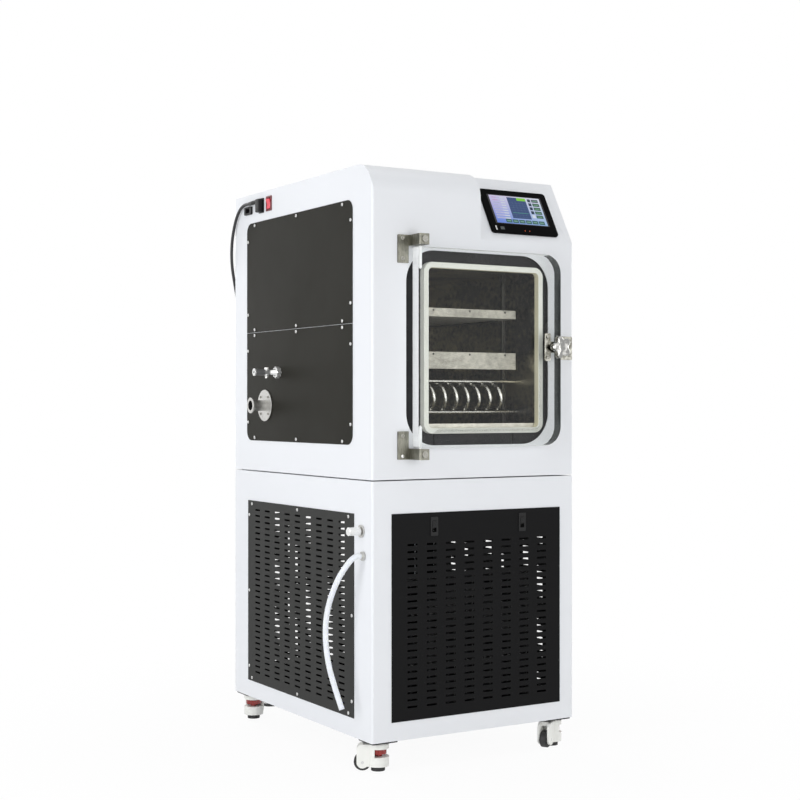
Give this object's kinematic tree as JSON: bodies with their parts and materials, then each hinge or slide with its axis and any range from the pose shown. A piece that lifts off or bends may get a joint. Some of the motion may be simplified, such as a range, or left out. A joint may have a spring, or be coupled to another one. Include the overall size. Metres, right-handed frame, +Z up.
{
  "type": "freeze dryer",
  "caption": "Pilot freeze dryer: clear-doored shelf chamber with a touch screen on a refrigeration cabinet, with vacuum, vent and drain fittings and levelling casters.",
  "frame": {"origin": "on the floor under the middle of the bounding box, measured without the cord, its coil and plugs and the drain hose", "axes": "+Z up; the door faces -Y; +X to the right of someone facing the door"},
  "size_m": [0.6983, 1.01, 1.461],
  "materials": {
    "cabinet_white": "satin powder coat",
    "cover_grey": "fine textured powder coat",
    "grille_grey": "fine textured powder coat",
    "panel_black": "fine textured powder coat",
    "black_plastic": "moulded",
    "screw_steel": "bright",
    "stainless": "brushed",
    "stainless_dark": "satin",
    "foam_black": "closed cell foam skin",
    "silicone_cream": "moulded silicone",
    "acrylic_clear": "clear polished",
    "chrome": "polished",
    "screen_glass": "glossy",
    "switch_red": "moulded",
    "switch_dark_red": "moulded",
    "tube_steel": "drawn tube",
    "compressor_black": "gloss enamel",
    "radiator_aluminium": "mill",
    "fan_dark": "moulded",
    "caster_white": "moulded nylon",
    "wheel_black": "moulded",
    "dial_red": "moulded",
    "pad_black": "moulded",
    "hose_white": "translucent silicone",
    "cord_black": "jacket"
  },
  "bodies": {
    "cabinet": {"lower_housing": "cabinet_white", "upper_sides": "cabinet_white", "upper_front": "cabinet_white", "upper_base": "cabinet_white", "covers": "cover_grey", "grilles": "grille_grey", "front_panel": "panel_black", "latch_frames": "black_plastic", "cover_screws": "screw_steel", "chamber": "stainless", "chamber_jacket": "foam_black", "door_gasket": "silicone_cream", "shelf_rack": "stainless", "shelves": "stainless", "condenser_coil": "tube_steel", "coil_rods": "tube_steel", "hinge_brackets": "stainless_dark", "hinge_pins": "stainless", "latch_bracket": "stainless_dark", "screen_housing": "black_plastic", "screen_glass": "screen_glass", "switch_frame": "switch_dark_red", "power_sockets": "black_plastic", "vacuum_port": "stainless", "vent_valve": "stainless", "drain_valve": "stainless", "compressor": "compressor_black", "radiator": "radiator_aluminium", "fan_shroud": "fan_dark", "caster_plates": "black_plastic", "drain_hose": "hose_white", "cord_plug": "cord_black", "power_cord": "cord_black", "cord_coil": "cord_black", "mains_plug": "cord_black"},
    "door": {"door_panel": "acrylic_clear", "door_lug": "stainless_dark"},
    "clamp_knob": {"star_knob": "chrome"},
    "rocker": {"rocker": "switch_red"},
    "vent_key": {"vent_key": "chrome"},
    "drain_knob": {"drain_knob": "chrome"},
    "fan": {"fan_rotor": "fan_dark"},
    "left_slider": {"latch_slider_left": "black_plastic"},
    "right_slider": {"latch_slider_right": "black_plastic"},
    "caster_front_left": {"caster_body_front_left": "caster_white"},
    "wheel_front_left": {"caster_wheel_front_left": "wheel_black"},
    "foot_front_left": {"caster_foot_front_left": "pad_black"},
    "dial_front_left": {"caster_dial_front_left": "dial_red"},
    "caster_front_right": {"caster_body_front_right": "caster_white"},
    "wheel_front_right": {"caster_wheel_front_right": "wheel_black"},
    "foot_front_right": {"caster_foot_front_right": "pad_black"},
    "dial_front_right": {"caster_dial_front_right": "dial_red"},
    "caster_rear_left": {"caster_body_rear_left": "caster_white"},
    "wheel_rear_left": {"caster_wheel_rear_left": "wheel_black"},
    "foot_rear_left": {"caster_foot_rear_left": "pad_black"},
    "dial_rear_left": {"caster_dial_rear_left": "dial_red"},
    "caster_rear_right": {"caster_body_rear_right": "caster_white"},
    "wheel_rear_right": {"caster_wheel_rear_right": "wheel_black"},
    "foot_rear_right": {"caster_foot_rear_right": "pad_black"},
    "dial_rear_right": {"caster_dial_rear_right": "dial_red"}
  },
  "joints": [
    {"name": "door_hinge", "type": "hinge", "parent": "cabinet", "child": "door", "pos_m": [-0.14925, -0.3825, 1.0195], "axis": [0, 0, -1], "range_deg": [0, 135]},
    {"name": "clamp_turn", "type": "hinge", "parent": "door", "child": "clamp_knob", "pos_m": [0.25075, -0.3995, 1.0265], "axis": [0, -1, 0], "range_deg": [0, 1080]},
    {"name": "rocker_tilt", "type": "hinge", "parent": "cabinet", "child": "rocker", "pos_m": [-0.26825, 0.1925, 1.424], "axis": [0, 1, 0], "range_deg": [0, 16]},
    {"name": "vent_key_turn", "type": "hinge", "parent": "cabinet", "child": "vent_key", "pos_m": [-0.30925, 0.1305, 0.967], "axis": [0, 0, 1], "range_deg": [0, 90]},
    {"name": "drain_knob_turn", "type": "hinge", "parent": "cabinet", "child": "drain_knob", "pos_m": [-0.29125, -0.3115, 0.577], "axis": [-1, 0, 0], "range_deg": [0, 900]},
    {"name": "fan_spin", "type": "hinge", "parent": "cabinet", "child": "fan", "pos_m": [0.02875, -0.2265, 0.266], "axis": [0, -1, 0], "continuous": true},
    {"name": "left_latch_slide", "type": "slide", "parent": "cabinet", "child": "left_slider", "axis": [0, 0, -1], "range_m": [0, 0.009], "stiffness_N_per_m": 120},
    {"name": "right_latch_slide", "type": "slide", "parent": "cabinet", "child": "right_slider", "axis": [0, 0, -1], "range_m": [0, 0.009], "stiffness_N_per_m": 120},
    {"name": "swivel_front_left", "type": "hinge", "parent": "cabinet", "child": "caster_front_left", "pos_m": [-0.23125, -0.3215, 0.068], "axis": [0, 0, 1], "continuous": true},
    {"name": "roll_front_left", "type": "hinge", "parent": "caster_front_left", "child": "wheel_front_left", "pos_m": [-0.26339, -0.30219, 0.0215], "axis": [-0.515, -0.8572, 0], "continuous": true},
    {"name": "level_front_left", "type": "slide", "parent": "caster_front_left", "child": "foot_front_left", "axis": [0, 0, -1], "range_m": [-0.007, 0.006]},
    {"name": "dial_turn_front_left", "type": "hinge", "parent": "caster_front_left", "child": "dial_front_left", "pos_m": [-0.23125, -0.3215, 0.047], "axis": [0, 0, -1], "range_deg": [-1450, 1240]},
    {"name": "swivel_front_right", "type": "hinge", "parent": "cabinet", "child": "caster_front_right", "pos_m": [0.28875, -0.3215, 0.068], "axis": [0, 0, 1], "continuous": true},
    {"name": "roll_front_right", "type": "hinge", "parent": "caster_front_right", "child": "wheel_front_right", "pos_m": [0.25627, -0.34025, 0.0215], "axis": [0.5, -0.866, 0], "continuous": true},
    {"name": "level_front_right", "type": "slide", "parent": "caster_front_right", "child": "foot_front_right", "axis": [0, 0, -1], "range_m": [-0.007, 0.006]},
    {"name": "dial_turn_front_right", "type": "hinge", "parent": "caster_front_right", "child": "dial_front_right", "pos_m": [0.28875, -0.3215, 0.047], "axis": [0, 0, -1], "range_deg": [-1450, 1240]},
    {"name": "swivel_rear_left", "type": "hinge", "parent": "cabinet", "child": "caster_rear_left", "pos_m": [-0.23125, 0.3735, 0.068], "axis": [0, 0, 1], "continuous": true},
    {"name": "roll_rear_left", "type": "hinge", "parent": "caster_rear_left", "child": "wheel_rear_left", "pos_m": [-0.20714, 0.40223, 0.0215], "axis": [-0.766, 0.6428, 0], "continuous": true},
    {"name": "level_rear_left", "type": "slide", "parent": "caster_rear_left", "child": "foot_rear_left", "axis": [0, 0, -1], "range_m": [-0.007, 0.006]},
    {"name": "dial_turn_rear_left", "type": "hinge", "parent": "caster_rear_left", "child": "dial_rear_left", "pos_m": [-0.23125, 0.3735, 0.047], "axis": [0, 0, -1], "range_deg": [-1450, 1240]},
    {"name": "swivel_rear_right", "type": "hinge", "parent": "cabinet", "child": "caster_rear_right", "pos_m": [0.28875, 0.3735, 0.068], "axis": [0, 0, 1], "continuous": true},
    {"name": "roll_rear_right", "type": "hinge", "parent": "caster_rear_right", "child": "wheel_rear_right", "pos_m": [0.32399, 0.38633, 0.0215], "axis": [-0.342, 0.9397, 0], "continuous": true},
    {"name": "level_rear_right", "type": "slide", "parent": "caster_rear_right", "child": "foot_rear_right", "axis": [0, 0, -1], "range_m": [-0.007, 0.006]},
    {"name": "dial_turn_rear_right", "type": "hinge", "parent": "caster_rear_right", "child": "dial_rear_right", "pos_m": [0.28875, 0.3735, 0.047], "axis": [0, 0, -1], "range_deg": [-1450, 1240]}
  ],
  "couplings": [
    {"joint": "dial_turn_front_left", "follows": "level_front_left", "rad_per_m": 3590.4},
    {"joint": "dial_turn_front_right", "follows": "level_front_right", "rad_per_m": 3590.4},
    {"joint": "dial_turn_rear_left", "follows": "level_rear_left", "rad_per_m": 3590.4},
    {"joint": "dial_turn_rear_right", "follows": "level_rear_right", "rad_per_m": 3590.4}
  ]
}
